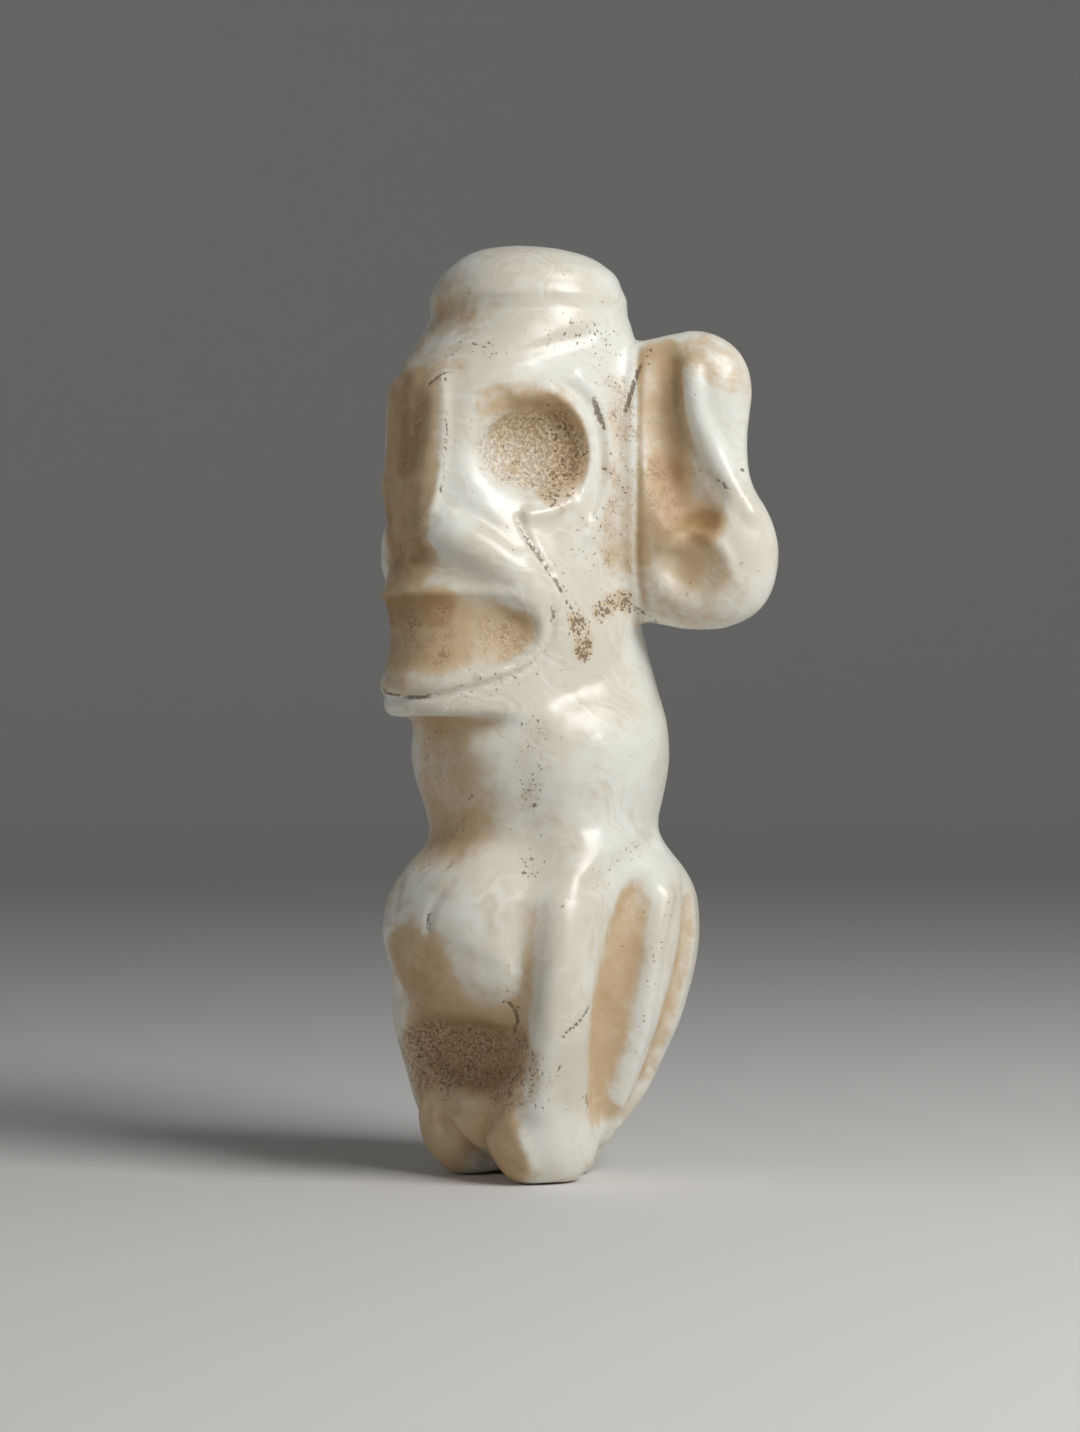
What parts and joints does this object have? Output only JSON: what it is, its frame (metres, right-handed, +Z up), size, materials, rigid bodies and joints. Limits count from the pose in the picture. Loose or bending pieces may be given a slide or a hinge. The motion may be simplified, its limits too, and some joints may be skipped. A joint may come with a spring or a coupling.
{
  "type": "stone zemi",
  "caption": "Small carved stone spirit figure, crouched on folded legs, with a round cap, sunken eyes, a wide mouth and swept-back ears.",
  "frame": {"origin": "centre of the figure's bounding box at the level of its soles", "axes": "+Z up through the cap, -Y the way the face looks, +X the figure's own left"},
  "size_m": [0.0488, 0.042, 0.11],
  "materials": {
    "pale_stone": "polished pale stone, stained brown in the hollows"
  },
  "bodies": {
    "root": {"zemi": "pale_stone"}
  },
  "joints": []
}
